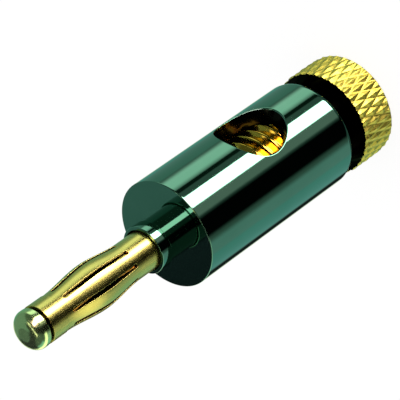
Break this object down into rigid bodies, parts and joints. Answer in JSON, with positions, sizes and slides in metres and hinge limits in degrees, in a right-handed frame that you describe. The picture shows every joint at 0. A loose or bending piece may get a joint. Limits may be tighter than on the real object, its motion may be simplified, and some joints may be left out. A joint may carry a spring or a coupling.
{
  "type": "banana plug",
  "caption": "Screw-clamp banana plug: black chrome sleeve with a leaning side cable entry, knurled gold clamp screw behind, and a gold contact pin with a slotted spring basket in front.",
  "frame": {"origin": "centre of the flat rear face of the clamp screw's head, on which the plug stands", "axes": "+Z along the plug's axis towards the contact pin's tip; -Y is the side of the cable entry"},
  "size_m": [0.011, 0.011, 0.0472],
  "materials": {
    "black_chrome": "black chrome plate, mirror polished",
    "gold_plate": "gold plate, polished",
    "spring_gold": "gold plate on spring bronze, polished"
  },
  "bodies": {
    "screw": {"clamp_screw": "gold_plate"},
    "pad": {"pressure_pad": "gold_plate"},
    "plug": {"sleeve": "black_chrome", "core_pin": "gold_plate"},
    "basket": {"contact_basket": "spring_gold"}
  },
  "joints": [
    {"name": "screw_turn", "type": "hinge", "parent": "screw", "child": "pad", "pos_m": [0, 0, 0.0169], "axis": [0, 0, 1], "range_deg": [-460.8, 2736]},
    {"name": "screw_travel", "type": "slide", "parent": "pad", "child": "plug", "axis": [0, 0, 1], "range_m": [-0.0016, 0.0095]},
    {"name": "basket_spin", "type": "hinge", "parent": "plug", "child": "basket", "pos_m": [0, 0, 0.038], "axis": [0, 0, 1], "continuous": true}
  ],
  "couplings": [
    {"joint": "screw_travel", "follows": "screw_turn", "m_per_rad": 0.00019894}
  ]
}
